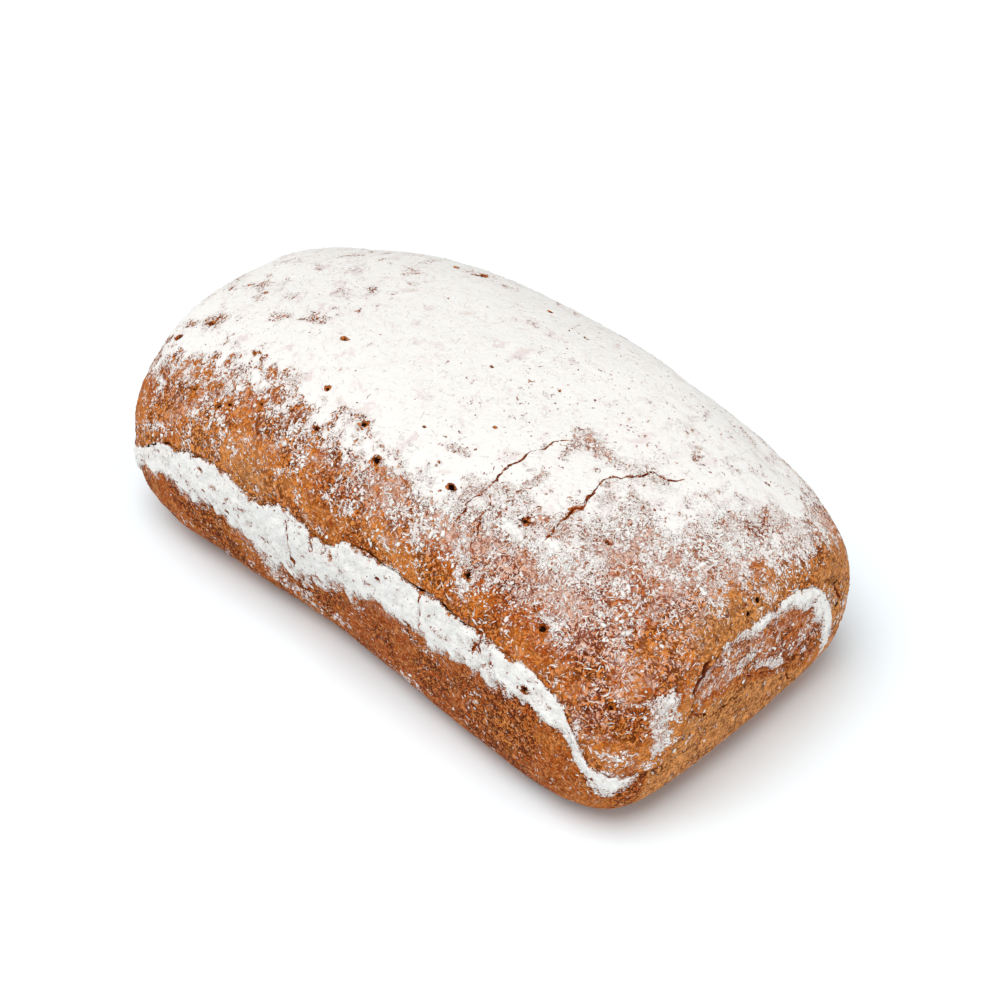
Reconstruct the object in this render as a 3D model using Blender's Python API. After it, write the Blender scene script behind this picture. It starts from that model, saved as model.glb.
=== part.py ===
# A tin loaf in one closed solid: straight lower walls as the tin left them,
# a domed crown above, a ledge all round where the crown rose over the tin's
# rim, and the rolled end of the dough showing as a bulge on both short ends.
# Metres, +Z up, length along X, standing on z = 0.

from math import copysign, exp

import bpy
import bmesh
from mathutils import Vector

# Driving sizes
HALF_LENGTH = 0.1200
HALF_WIDTH = 0.0655
WALL_HEIGHT = 0.0470    # base to the widest level
CROWN_HEIGHT = 0.0492   # widest level to the top of the dome
BASE_CUT = 0.0010       # levelled off the underside, so that it stands flat

# Squareness of each outline: 2 is an ellipse, 8 is nearly a rectangle
BASE_ENDS = 8.75        # how square the walls meet the ends
CROWN_ENDS = 2.08
BASE_SIDES_LEFT = 3.64  # how square the walls meet the long sides, by end
BASE_SIDES_RIGHT = 6.71
CROWN_SIDES = 2.57
BASE_EDGE = 6.65        # how square the walls meet the underside
CROWN_EDGE = 2.66

# Unevenness of this loaf
END_TAPER = 0.017       # shares that the tin's walls narrow by at the base
SIDE_TAPER = 0.048
WAIST = 0.077           # share that the long sides are pinched by
WAIST_CENTRE = -0.0044
WAIST_REACH = 0.0594
WIDENING = 0.014        # share wider at the right end, narrower at the left
CROWN_LEAN = 0.0019     # crown leans towards +Y and towards +X
CROWN_ARCH = 0.0024
DROOP_LEFT = 0.0026     # the dome falls away towards the two ends
DROOP_RIGHT = 0.0060
DROOP_START = 0.0100
DROOP_REACH = 0.1100

# Ledge: low at the four corners, arched over each side
LEDGE_CORNER = 0.0260
LEDGE_SIDE = 0.0590
LEDGE_END = 0.0600
LEDGE_HALF_LENGTH = 0.1120
LEDGE_HALF_WIDTH = 0.0480
LEDGE_DROP_LEFT = 3.6   # how late the ledge drops towards each corner
LEDGE_DROP_RIGHT = 7.0
LEDGE_DROP_END = 2.6
LIP = 0.0005            # the crown stands out above the ledge
LIP_REACH = 0.0070
RECESS = 0.0016         # the wall lies back below it
RECESS_REACH = 0.0100
CORNER_SHARE = 0.3      # what is left of both where the ledge is lowest
PLAIN_FOOT = 0.0120     # the recess fades out towards the base over this height

# Rolled dough on each end, below the ledge
BULGE = 0.0014
BULGE_HEIGHT = 0.0420
BULGE_HALF_WIDTH = 0.0380
BULGE_HALF_HEIGHT = 0.0210

# Cells along X, Y and Z; one level of cells runs along the ledge
CELLS = (46, 24, 20)
LEDGE_LEVEL = 0.2
LEVEL_STEPS = 18        # halvings that find where a column meets the ledge

# Crust
CRUST_COLOUR = (0.42, 0.19, 0.08, 1.0)
CRUST_ROUGHNESS = 0.85


def smooth(share):
    """0 to 1 with level ends."""
    share = min(max(share, 0.0), 1.0)
    return share * share * (3.0 - 2.0 * share)


def mix(start, end, share):
    """A value between start and end."""
    return start + (end - start) * share


def clear_scene():
    """Remove every object that the file opened with."""
    for thing in list(bpy.data.objects):
        bpy.data.objects.remove(thing, do_unlink=True)


def crust_material():
    """Dry, matt, golden brown crust."""
    material = bpy.data.materials.new("crust")
    material.use_nodes = True
    shader = material.node_tree.nodes["Principled BSDF"]
    shader.inputs["Base Color"].default_value = CRUST_COLOUR
    shader.inputs["Roughness"].default_value = CRUST_ROUGHNESS
    shader.inputs["Metallic"].default_value = 0.0
    material.diffuse_color = CRUST_COLOUR
    return material


def ledge_height(x, y):
    """Height of the ledge: an arch over each long side and over each end."""
    drop = LEDGE_DROP_RIGHT if x > 0.0 else LEDGE_DROP_LEFT
    along = min(abs(x) / LEDGE_HALF_LENGTH, 1.0)
    across = min(abs(y) / LEDGE_HALF_WIDTH, 1.0)
    over_side = mix(LEDGE_CORNER, LEDGE_SIDE, 1.0 - along ** drop)
    over_end = mix(LEDGE_CORNER, LEDGE_END, 1.0 - across ** LEDGE_DROP_END)
    return max(over_side, over_end)


def mould(cell):
    """The skin of the loaf: a cube point carried onto a rounded block whose
    outlines are superellipses, square at the base and round at the crown."""
    crown = smooth((cell.z + 0.6) / 1.4)
    ends = mix(BASE_ENDS, CROWN_ENDS, crown)
    sides_base = mix(BASE_SIDES_LEFT, BASE_SIDES_RIGHT, smooth((cell.x + 1.0) / 2.0))
    sides = mix(sides_base, CROWN_SIDES, crown)
    edge = CROWN_EDGE if cell.z > 0.0 else BASE_EDGE
    reach = CROWN_HEIGHT if cell.z > 0.0 else WALL_HEIGHT
    size = 1.0 / (abs(cell.x) ** ends + abs(cell.y) ** sides + abs(cell.z) ** edge)
    x = HALF_LENGTH * cell.x * size ** (1.0 / ends)
    y = HALF_WIDTH * cell.y * size ** (1.0 / sides)
    z = reach * cell.z * size ** (1.0 / edge)

    below = max(-z / WALL_HEIGHT, 0.0)
    above = max(z / CROWN_HEIGHT, 0.0)
    x *= 1.0 - END_TAPER * below ** 1.5
    y *= 1.0 - SIDE_TAPER * below ** 1.5
    pinch = exp(-((x - WAIST_CENTRE) / WAIST_REACH) ** 2)
    y *= 1.0 - WAIST * pinch * smooth(0.35 + below)
    y *= 1.0 + WIDENING * x / HALF_LENGTH
    y += CROWN_LEAN * above
    x += CROWN_ARCH * above
    z -= above * DROOP_RIGHT * smooth((x - DROOP_START) / DROOP_REACH)
    z -= above * DROOP_LEFT * smooth((-x - DROOP_START) / DROOP_REACH)
    return Vector((x, y, z + WALL_HEIGHT))


def outward(point):
    """Level direction that the walls face at a point of the plan's outline."""
    along = (abs(point.x) / HALF_LENGTH) ** (BASE_ENDS - 1.0)
    across = (abs(point.y) / HALF_WIDTH) ** (BASE_SIDES_LEFT - 1.0)
    return Vector((copysign(along, point.x), copysign(across, point.y), 0.0)).normalized()


def ledge_on_column(cell):
    """Level at which the column of a wall cell meets the ledge."""
    low = -0.9
    high = 0.9
    for _ in range(LEVEL_STEPS):
        level = (low + high) / 2.0
        point = mould(Vector((cell.x, cell.y, level)))
        if point.z < ledge_height(point.x, point.y):
            low = level
        else:
            high = level
    return (low + high) / 2.0


def on_ledge_levels(level, ledge):
    """Slide the levels of a column so that LEDGE_LEVEL falls on the ledge."""
    if level > LEDGE_LEVEL:
        return ledge + (level - LEDGE_LEVEL) * (1.0 - ledge) / (1.0 - LEDGE_LEVEL)
    return (level + 1.0) * (ledge + 1.0) / (LEDGE_LEVEL + 1.0) - 1.0


def ledge_step(height, ledge):
    """How far a wall stands out: a lip above the ledge, a recess below it."""
    over = height - ledge
    if over > -0.0001:
        step = LIP * exp(-max(over, 0.0) / LIP_REACH)
    else:
        step = -RECESS * exp(over / RECESS_REACH)
    raised = smooth((ledge - LEDGE_CORNER) / (LEDGE_SIDE - LEDGE_CORNER))
    return step * mix(CORNER_SHARE, 1.0, raised) * smooth(height / PLAIN_FOOT)


def roll_bulge(point, cell):
    """How far the rolled dough stands out of an end, as a low oval dome."""
    across = point.y / BULGE_HALF_WIDTH
    upward = (point.z - BULGE_HEIGHT) / BULGE_HALF_HEIGHT
    end = smooth((abs(cell.x) - 0.9) / 0.1)
    return BULGE * end * smooth(1.0 - across * across - upward * upward)


def skin(cell):
    """A point of the loaf's skin: walls carry the ledge, ends the roll."""
    if abs(cell.z) > 0.9999:
        return mould(cell)
    ledge = ledge_on_column(cell)
    foot = mould(Vector((cell.x, cell.y, ledge)))
    point = mould(Vector((cell.x, cell.y, on_ledge_levels(cell.z, ledge))))
    return point + outward(point) * (ledge_step(point.z, foot.z) + roll_bulge(point, cell))


def loaf_mesh():
    """Cut a cube into cells, carry them onto the loaf and level the base."""
    shape = bmesh.new()
    bmesh.ops.create_cube(shape, size=2.0)
    for axis, count in enumerate(CELLS):
        normal = Vector((0.0, 0.0, 0.0))
        normal[axis] = 1.0
        for cut in range(1, count):
            place = normal * (2.0 * cut / count - 1.0)
            parts = shape.verts[:] + shape.edges[:] + shape.faces[:]
            bmesh.ops.bisect_plane(shape, geom=parts, plane_co=place, plane_no=normal)

    for vert in shape.verts:
        point = skin(vert.co)
        point.z = max(point.z - BASE_CUT, 0.0)
        vert.co = point

    low = Vector([min(vert.co[i] for vert in shape.verts) for i in range(3)])
    high = Vector([max(vert.co[i] for vert in shape.verts) for i in range(3)])
    centre = (low + high) / 2.0
    bmesh.ops.translate(shape, verts=shape.verts, vec=(-centre.x, -centre.y, -low.z))
    bmesh.ops.recalc_face_normals(shape, faces=shape.faces)

    mesh = bpy.data.meshes.new("loaf")
    shape.to_mesh(mesh)
    shape.free()
    mesh.shade_smooth()
    return mesh


def build():
    """Put the loaf into the scene."""
    clear_scene()
    mesh = loaf_mesh()
    mesh.materials.append(crust_material())
    loaf = bpy.data.objects.new("loaf", mesh)
    bpy.context.scene.collection.objects.link(loaf)


build()
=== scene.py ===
# Flour-dusted spelt loaf from a tin: the looks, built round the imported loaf.
# Lengths in the tables are millimetres; meshes are put in as metres.

from math import cos, pi, radians, sin
from types import SimpleNamespace

import bpy
import numpy as np
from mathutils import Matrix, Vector


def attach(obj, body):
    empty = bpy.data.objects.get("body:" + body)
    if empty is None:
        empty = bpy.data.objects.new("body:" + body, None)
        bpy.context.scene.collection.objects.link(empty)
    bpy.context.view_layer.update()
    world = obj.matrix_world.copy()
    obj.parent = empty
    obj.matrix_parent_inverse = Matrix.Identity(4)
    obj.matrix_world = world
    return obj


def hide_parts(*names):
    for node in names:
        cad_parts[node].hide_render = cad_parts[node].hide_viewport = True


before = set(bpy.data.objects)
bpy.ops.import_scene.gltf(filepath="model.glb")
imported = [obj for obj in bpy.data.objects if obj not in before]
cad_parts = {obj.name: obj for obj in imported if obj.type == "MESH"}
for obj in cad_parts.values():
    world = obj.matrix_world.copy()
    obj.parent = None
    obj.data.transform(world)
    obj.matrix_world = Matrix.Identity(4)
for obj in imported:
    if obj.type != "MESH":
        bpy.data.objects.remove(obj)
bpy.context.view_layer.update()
mm = 0.001
golden = (1 + 5 ** 0.5) / 2
farAway = 9.0  # distance to a split or a pore where there is none near
scene = bpy.context.scene


# 0 to 1 with level ends: 3t^2 - 2t^3 of t clipped to 0..1
def smooth(t):
    t = np.clip(t, 0, 1)
    return t * t * (3 - 2 * t)


# smooth of (value - start) / reach: 0 before start and 1 beyond the reach, or
# the other way round where the reach is negative
def rise(value, start, reach):
    return smooth((value - start) / reach)


# a + (b - a) t
def mix(a, b, t):
    return a + (b - a) * t


# Smooth random heights of about -1..1: random values at the corners of a unit
# lattice, blended inside each cell by the cubic 3t^2 - 2t^3 along each axis
def lumps(points, size, seed):
    p = points / size + 61.7 + seed * 17.31
    cell = np.floor(p).astype(np.int64)
    t = smooth(p - cell)
    total = np.zeros(len(p))
    for corner in range(8):
        step = np.array([corner & 1, corner >> 1 & 1, corner >> 2 & 1])
        n = (cell + step) @ np.array([73856093, 19349663, 83492791]) + seed * 2654435761
        n = (n ^ (n >> 13)) * 1274126177 & 0x7FFFFFFF
        n = (n ^ (n >> 16)) * 668265263 & 0x7FFFFFFF
        value = (n >> 7 & 0xFFFF) / 32767.5 - 1
        total += value * np.prod(np.where(step == 1, t, 1 - t), axis=1)
    return total


# Sum of layers of lumps, each half the size and "rough" times the height
def layered(points, size, seed, layers=3, rough=0.5):
    total = np.zeros(len(points))
    height = 1.0
    for layer in range(layers):
        total += height * lumps(points, size, seed + 7 * layer)
        size *= 0.5
        height *= rough
    return total


# Height of a line of straight pieces at each place: stops are (place, height)
def lineAt(place, stops):
    return np.interp(place, *np.array(stops, float).T)


# A mesh from points in millimetres, the faces' corner numbers in one row, and
# the number in that row at which each face starts
def fillMesh(name, points, corners, starts):
    mesh = bpy.data.meshes.new(name)
    mesh.vertices.add(len(points))
    mesh.vertices.foreach_set("co", (points * mm).ravel())
    mesh.loops.add(len(corners))
    mesh.loops.foreach_set("vertex_index", corners)
    mesh.polygons.add(len(starts))
    mesh.polygons.foreach_set("loop_start", starts)
    mesh.update(calc_edges=True)
    return mesh


# One value of each item of a mesh's list, or "width" values in a row each
def readAll(items, label, width=1, kind=float):
    values = np.zeros(len(items) * width, kind)
    items.foreach_get(label, values)
    return values.reshape(-1, width) if width > 1 else values


# An object at the origin with this data, put into the scene
def addObject(name, data):
    thing = bpy.data.objects.new(name, data)
    scene.collection.objects.link(thing)
    return thing


# The block's size, how square its outlines are low down ("base") and above
# ("crown"), and its taper, waist, lean and droop. The flat underside takes
# "baseCut" off it, and "sidePlace" puts the middle of its width at y 0
loafShape = dict(
    halfLength=120.0, halfWidth=65.5, wallHeight=47.0, crownHeight=49.2,
    baseCut=1.0, sidePlace=0.28,
    baseEnds=8.75, crownEnds=2.08, baseSidesLeft=3.64, baseSidesRight=6.71,
    crownSides=2.57, baseEdge=6.65, crownEdge=2.66,
    endTaper=0.017, sideTaper=0.048, waist=0.077, waistCentre=-4.4, waistReach=59.4,
    widening=0.014, crownLean=1.9, crownArch=2.4,
    droopLeft=2.6, droopRight=6.0, droopStart=10.0, droopReach=110.0,
)

# The ledge: its height at the corners and at the middle of a side and an end,
# how square its arches are, and the size of its lip and recess
ledge = dict(
    corner=26.0, side=59.0, end=60.0, halfLength=112.0, halfWidth=48.0,
    dropLeft=3.6, dropRight=7.0, dropEnd=2.6, wander=0.8,
    lip=0.22, lipReach=7.0, recess=0.5, recessReach=10.0, cornerShare=0.3, plainFoot=12.0,
    foldLip=0.9, foldRecess=1.4, foldReach=6,
)

# Height of the ledge along the front wall, from left to right
frontLine = [
    (-118, 26), (-106, 29.5), (-100, 35), (-94, 40), (-88, 45), (-80, 50.2), (-72, 51.8), (-66, 53.4),
    (-60, 55.2), (-50, 55.6), (-42, 54), (-36, 53), (-31, 52.8), (-26, 56), (-20, 57.6), (-14, 56.6),
    (-9, 55.2), (-3, 54.6), (1, 54.8), (4, 57.5), (8, 60.8), (20, 61.6), (36, 61.2), (46, 62), (51, 60.6),
    (57, 60), (68, 59.8), (80, 57.2), (86, 55), (92, 52.6), (97, 49.8), (100, 45), (103, 39.5), (106, 33),
    (112, 28),
]

# The same across the right end, from front to back: a fold, an arch, a fold
rightLine = [
    (-60, 26), (-52, 25.5), (-46, 26.5), (-42, 29), (-38, 34), (-35, 38.5), (-33, 43), (-31.5, 47.5),
    (-29, 52), (-26, 55.5), (-22, 57.8), (-16, 58.6), (-9, 59), (-2, 58.4), (4, 58.4), (10, 59),
    (16, 59.2), (21, 57.4), (26.5, 54.4), (30, 51.2), (33.5, 46), (36, 42), (37.7, 37.5), (38.5, 30),
    (39.5, 23),
]


# Unit cube directions carried onto the loaf: a block whose outlines are
# superellipses, |x|^p + |y|^q + |z|^r = 1, square low down and round above,
# then tapered, pinched at the waist, leant and drooped
def mould(u):
    s = loafShape
    ux, uy, uz = u.T
    crown = rise(uz, -0.6, 1.4)
    p = mix(s["baseEnds"], s["crownEnds"], crown)
    q = mix(mix(s["baseSidesLeft"], s["baseSidesRight"], rise(ux, -1, 2)), s["crownSides"], crown)
    r = np.where(uz > 0, s["crownEdge"], s["baseEdge"])
    reach = np.where(uz > 0, s["crownHeight"], s["wallHeight"])
    size = 1 / (np.abs(ux) ** p + np.abs(uy) ** q + np.abs(uz) ** r)
    x = s["halfLength"] * ux * size ** (1 / p)
    y = s["halfWidth"] * uy * size ** (1 / q)
    z = reach * uz * size ** (1 / r)
    below = np.clip(-z / s["wallHeight"], 0, 1)
    above = np.clip(z / s["crownHeight"], 0, 1)
    x = x * (1 - s["endTaper"] * below ** 1.5)
    y = y * (1 - s["sideTaper"] * below ** 1.5)
    pinch = np.exp(-((x - s["waistCentre"]) / s["waistReach"]) ** 2)
    y = y * (1 - s["waist"] * pinch * smooth(0.35 + below))
    y = y * (1 + s["widening"] * x / s["halfLength"])
    y = y + s["crownLean"] * above
    x = x + s["crownArch"] * above
    z = z - above * s["droopRight"] * smooth((x - s["droopStart"]) / s["droopReach"])
    z = z - above * s["droopLeft"] * smooth((-x - s["droopStart"]) / s["droopReach"])
    return np.stack([x, y - s["sidePlace"], z + s["wallHeight"] - s["baseCut"]], -1)


# Height of the ledge: an arch over each side and each end, low at the corners,
# which at the back and left is 1 - (distance from the middle)^drop, and follows
# its line at the front and right; it wanders a little up and down
def ledgeHeight(x, y):
    g = ledge
    drop = np.where(x > 0, g["dropRight"], g["dropLeft"])
    along = np.clip(np.abs(x) / g["halfLength"], 0, 1)
    across = np.clip(np.abs(y) / g["halfWidth"], 0, 1)
    overBack = mix(g["corner"], g["side"], 1 - along ** drop)
    overFront = lineAt(x, frontLine)
    overLeft = mix(g["corner"], g["end"], 1 - across ** g["dropEnd"])
    overRight = lineAt(y, rightLine)
    onEnd = np.abs(x) > 80
    overEnd = np.where(x > 0, overRight, overLeft) * onEnd
    place = np.stack([x, y, 0 * x], -1)
    wander = g["wander"] * (0.6 * lumps(place, 6.5, 51) + 0.5 * lumps(place, 2.9, 52))
    return np.maximum(np.where(y < 0, overFront, overBack), overEnd) + wander - loafShape["baseCut"]


# Level at which each wall column meets the ledge, found by halving
def ledgeLevels(ux, uy):
    low = np.full(len(ux), -0.9)
    high = np.full(len(ux), 0.9)
    for _ in range(22):
        level = (low + high) / 2
        point = mould(np.stack([ux, uy, level], -1))
        under = point[:, 2] < ledgeHeight(point[:, 0], point[:, 1])
        low = np.where(under, level, low)
        high = np.where(under, high, level)
    return (low + high) / 2


# Stops from -1 to 1 that are evenly spaced along the curve that "place" draws
def evenStops(count, place):
    fine = np.linspace(-1, 1, 801)
    length = np.r_[0, np.cumsum(np.linalg.norm(np.diff(place(fine), axis=0), axis=1))]
    return np.interp(np.linspace(0, length[-1], count + 1), length, fine)


# One closed mesh from a cap of (nx + 1) by (ny + 1) points, rings that go on
# from the cap's edge, and a last point that shuts it inside the loaf. The last
# "hidden" rings are shaded flat, which keeps them out of the rim's normals
def closedShell(name, cap, rings, last, flip, hidden=0):
    nx, ny = cap.shape[0] - 1, cap.shape[1] - 1
    number = np.arange((nx + 1) * (ny + 1)).reshape(nx + 1, ny + 1)
    around = rings.shape[1]
    below = number.size + np.arange(rings.shape[0] * around).reshape(-1, around)
    loops = np.vstack([edgeLoop(number)[None], below])
    ahead = np.roll(loops, -1, axis=1)
    quads = np.stack([number[:-1, :-1], number[1:, :-1], number[1:, 1:], number[:-1, 1:]], -1)
    walls = np.stack([loops[:-1], loops[1:], ahead[1:], ahead[:-1]], -1)
    faces = np.vstack([quads.reshape(-1, 4), walls.reshape(-1, 4)])
    end = number.size + rings.shape[0] * around
    fan = np.stack([loops[-1], np.full(around, end), ahead[-1]], -1)
    if flip:
        faces = faces[:, ::-1]
        fan = fan[:, ::-1]
    corners = np.r_[faces.ravel(), fan.ravel()]
    starts = np.r_[np.arange(len(faces)) * 4, faces.size + np.arange(len(fan)) * 3]
    mesh = fillMesh(name, np.vstack([cap.reshape(-1, 3), rings.reshape(-1, 3), [last]]), corners, starts)
    mesh.validate()
    flat = np.arange(len(starts)) >= len(faces) - hidden * around
    mesh.attributes.new("sharp_face", "BOOLEAN", "FACE").data.foreach_set("value", flat)
    return mesh


# The edge of a grid as one loop: bottom side, right side, top side, left side
def edgeLoop(grid):
    return np.concatenate([grid[:-1, 0], grid[-1, :-1], grid[:0:-1, -1], grid[0, :0:-1]])


# How many faces each shell has: along and across its cap, and down its wall
crownGrid = dict(alongCap=282, acrossCap=164, downWall=54)
wallGrid = dict(alongCap=277, acrossCap=142, downWall=66)
heart = 45.0  # height in the middle of the loaf where the shells are shut

# Splits that the oven spring tore: half width, depth, and the run of places
# along the skin's two main directions, which are x and y on the crown, x and z
# on the front and back, y and z on the ends
splits = dict(
    crown=[
        (0.14, 0.8, [(49, -7), (46.5, -12), (45.5, -17), (43.5, -21), (43.5, -26), (41, -30),
            (42.5, -34), (43.5, -38)]),
        (0.12, 0.5, [(43.5, -37), (41.5, -41), (40.5, -44), (41.5, -48), (40, -51)]),
        (0.11, 0.4, [(44, -37.5), (46.5, -41), (46, -45), (48.5, -48), (49, -52)]),
        (0.24, 0.8, [(80, 9.5), (77, 5), (73, 3.5), (71.5, 0), (70, -4), (67, -8), (65.5, -11),
            (67, -16), (67.5, -22), (66.3, -27), (66.8, -32), (67, -39)]),
        (0.09, 0.2, [(49.5, -37), (51, -32), (53, -28)]),
        (0.12, 0.4, [(-92, 30), (-84, 34), (-77, 33), (-70, 38)]),
    ],
    front=[
        (0.13, 0.4, [(-19.5, 57), (-20, 51), (-19, 45), (-20, 37), (-19.5, 30)]),
        (0.14, 0.5, [(62.5, 57), (64, 54), (62.5, 51)]),
        (0.14, 0.5, [(69.5, 57), (70.5, 53), (70, 49)]),
        (0.1, 0.3, [(41, 61), (40, 56), (41, 49), (40.5, 45)]),
        (0.12, 0.4, [(-9, 54), (-9.5, 50), (-8.5, 46)]),
        (0.14, 0.5, [(0.5, 56), (0, 52), (0.5, 48)]),
    ],
    back=[
        (0.16, 0.5, [(-34, 58), (-33, 51), (-35, 44)]),
        (0.16, 0.5, [(55, 60), (53, 53), (54.5, 47)]),
    ],
    rightEnd=[
        (0.26, 0.9, [(-22, 32), (-14, 31), (-6, 33.5), (0, 34.5), (5, 32), (10, 30), (15, 27.5),
            (21, 26)]),
        (0.62, 1.5, [(-24, 57.5), (-27, 54), (-29.5, 50), (-30.8, 46), (-31.5, 42), (-32.5, 39)]),
        (0.24, 0.8, [(-32.5, 40), (-35, 36), (-38.5, 33), (-43, 27)]),
        (0.22, 0.7, [(-5, 37), (1, 36.5), (7, 33)]),
        (0.28, 0.9, [(-31.5, 41), (-29, 38.5), (-26, 36), (-23, 33.5)]),
        (0.25, 0.8, [(17, 24), (20, 18), (24, 13)]),
        (0.55, 1.8, [(34, 51), (38, 47.5), (41, 44.5), (43, 40), (44.5, 36)]),
    ],
    leftEnd=[
        (0.32, 1, [(-22, 38), (-14, 35), (-4, 36), (6, 33)]),
    ],
)

# Open pores: a place in the same two directions, size, depth
pores = dict(
    crown=[
        (33, -43.5, 1.25, 2), (58, -38, 0.95, 1.5), (52.7, -57, 1.1, 1.7), (81, -54, 1.4, 1.6),
        (80.5, -26, 0.8, 0.9), (-37, -21, 0.95, 1.5), (-26, -38.7, 0.8, 1), (-6, -42.7, 1, 1.2),
        (6, -49, 1, 1.5), (12, -34, 0.6, 0.8), (29.3, -20.7, 0.55, 0.8), (10, -1.5, 0.5, 0.7),
        (32, 5.5, 0.5, 0.7), (-93.7, -29, 1.3, 1.3), (-63, -54, 1.2, 1.5), (-58.7, -52.7, 1, 1.2),
        (-78, -51, 1, 1.2), (-1, 37, 0.6, 0.8), (17.7, 33.5, 0.7, 0.8), (-33, 38, 1.2, 1),
        (-43, 36, 0.8, 0.8), (108.5, -54, 1, 1.5), (-104, -36, 1.1, 1.2), (-46, -50, 0.8, 1),
        (18, 52, 1, 1.3), (-70, 48, 0.9, 1.1), (66, 50, 0.8, 1), (92, 36, 0.8, 1), (76, -52, 0.7, 0.8),
        (-20, -50, 0.6, 0.8),
    ],
    front=[
        (-62, 49, 0.7, 0.8), (22, 54, 0.5, 0.7), (-50, 38, 0.7, 0.8), (84, 49, 0.9, 0.9),
        (-8, 33, 0.9, 1), (-96, 15, 0.9, 1), (-70, 18, 0.8, 0.8), (-31, 14, 0.8, 0.8), (34, 18, 0.7, 0.7),
        (12, 30, 0.8, 0.8), (-60, 42, 0.6, 0.7),
    ],
    back=[
        (-62, 24, 1, 1), (-15, 40, 0.8, 0.8), (22, 17, 1.1, 1), (70, 33, 0.8, 0.9), (-88, 44, 0.9, 1),
        (48, 52, 0.7, 0.8),
    ],
    rightEnd=[
        (-4, 61.6, 1.3, 1.5), (0.5, 63.5, 0.9, 1.2), (14, 42, 1.2, 1.2), (17, 41.4, 0.7, 0.8),
        (11.4, 43.2, 0.6, 0.8), (20, 27.5, 1.2, 1.4), (19, 16, 0.8, 0.8), (42, 43.6, 1.6, 1.7),
        (42.6, 34, 1.4, 1.5), (-30, 25, 0.6, 0.6), (-20, 21, 0.5, 0.6), (-8, 24, 0.6, 0.6),
        (4, 17, 0.5, 0.6), (-14, 31, 0.6, 0.6), (-24, 34, 0.8, 0.9), (8, 26, 0.6, 0.7),
        (26, 38, 0.8, 0.9), (-4, 13, 0.5, 0.6),
    ],
    leftEnd=[
        (-20, 30, 1, 1), (12, 22, 0.8, 0.9), (30, 38, 1, 1.2), (-2, 62, 0.9, 1.2), (-36, 18, 0.7, 0.8),
        (4, 44, 0.7, 0.8),
    ],
)


# Cube directions of a cap, evenly spaced on the loaf, and of the wall columns
# under it, even from the rim to the ledge; side is +1 for the crown and -1 for
# the base
def shellDirections(grid, side):
    along = evenStops(grid["alongCap"], lambda t: mould(np.stack([t, 0 * t, 0 * t + side], -1)))
    across = evenStops(grid["acrossCap"], lambda t: mould(np.stack([0 * t, t, 0 * t + side], -1)))
    ux, uy = np.meshgrid(along, across, indexing="ij")
    cap = np.stack([ux, uy, np.full(ux.shape, float(side))], -1)
    rim = np.stack([edgeLoop(ux), edgeLoop(uy)], -1)
    meet = ledgeLevels(rim[:, 0], rim[:, 1])
    share = np.linspace(0, 1, grid["downWall"] + 1)[1:, None]
    levels = mix(float(side), meet[None], share)
    rings = np.concatenate([np.broadcast_to(rim, levels.shape + (2,)), levels[..., None]], -1)
    return cap, rings


# Signed distance from points to a run of straight pieces, and the share of the
# run's length at the nearest place: foot = a + (b - a) clip((p - a).(b - a) / |b - a|^2)
def fromRun(points, run):
    run = np.array(run, float)
    start, step = run[:-1], np.diff(run, axis=0)
    long = np.linalg.norm(step, axis=1)
    off = points[:, None] - start[None]
    t = np.clip((off * step).sum(-1) / long ** 2, 0, 1)
    off = off - step * t[..., None]
    away = np.linalg.norm(off, axis=-1)
    best = away.argmin(1)
    row = np.arange(len(points))
    side = np.sign(step[best, 0] * off[row, best, 1] - step[best, 1] * off[row, best, 0])
    share = (np.r_[0, np.cumsum(long)][best] + t[row, best] * long[best]) / long.sum()
    return away[row, best] * side, share


# Signed distance in plan to a closed outline, positive inside, which is where a
# line towards +x crosses the outline an odd number of times
def insideOutline(points, outline):
    ring = np.array(outline, float)
    away = np.abs(fromRun(points, np.vstack([ring, ring[:1]]))[0])
    nextOne = np.roll(ring, -1, axis=0)
    x, y = points[:, :1], points[:, 1:2]
    spans = (ring[:, 1] > y) != (nextOne[:, 1] > y)
    step = nextOne - ring
    with np.errstate(divide="ignore", invalid="ignore"):
        crossing = step[:, 0] * (y - ring[:, 1]) / step[:, 1] + ring[:, 0]
    odd = (spans & (x < crossing)).sum(1) % 2 == 1
    return np.where(odd, away, -away)


# Outward normals of a mesh's points
def normalsOf(mesh):
    return readAll(mesh.vertex_normals, "vector", 3)


# The two plain directions in which a wall's places are given, its inward one,
# and which points belong to it
def wallAxes(wall, points):
    x, y, z = points.T
    if wall == "crown":
        return (0, 1), 2, (z > 50) & (np.abs(y) < 62)
    if wall in ("front", "back"):
        return (0, 2), 1, (np.abs(x) < 112) & (y < -30 if wall == "front" else y > 30)
    return (1, 2), 0, x > 100 if wall == "rightEnd" else x < -100


# Draws the points near a split towards it, so that a narrow line gets enough of
# them: distance d becomes d (0.35 + 0.65 (d / reach)^1.5)
def gatherPoints(points, normals, wall, run, reach=3.5, pulled=0.65, step=0.05, least=0.3):
    plain, inward, here = wallAxes(wall, points)
    near = here & (np.abs(fromRun(points[:, plain], run)[0]) < reach)
    flat = points[near][:, plain]
    away, share = fromRun(flat, run)
    pull = -away * pulled * (1 - (np.abs(away) / reach) ** 1.5) * ((share > 0) & (share < 1))
    slopes = [(fromRun(flat + np.eye(2)[axis] * step, run)[0] - away) / step for axis in (0, 1)]
    move = pull[:, None] * np.stack(slopes, -1)
    facing = normals[near][:, inward]
    facing = np.where(np.abs(facing) < least, least * np.sign(facing), facing)
    moved = points.copy()
    rows = np.flatnonzero(near)
    moved[rows[:, None], plain] += move
    moved[rows, inward] -= (normals[near][:, plain] * move).sum(-1) / facing
    return moved


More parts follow.
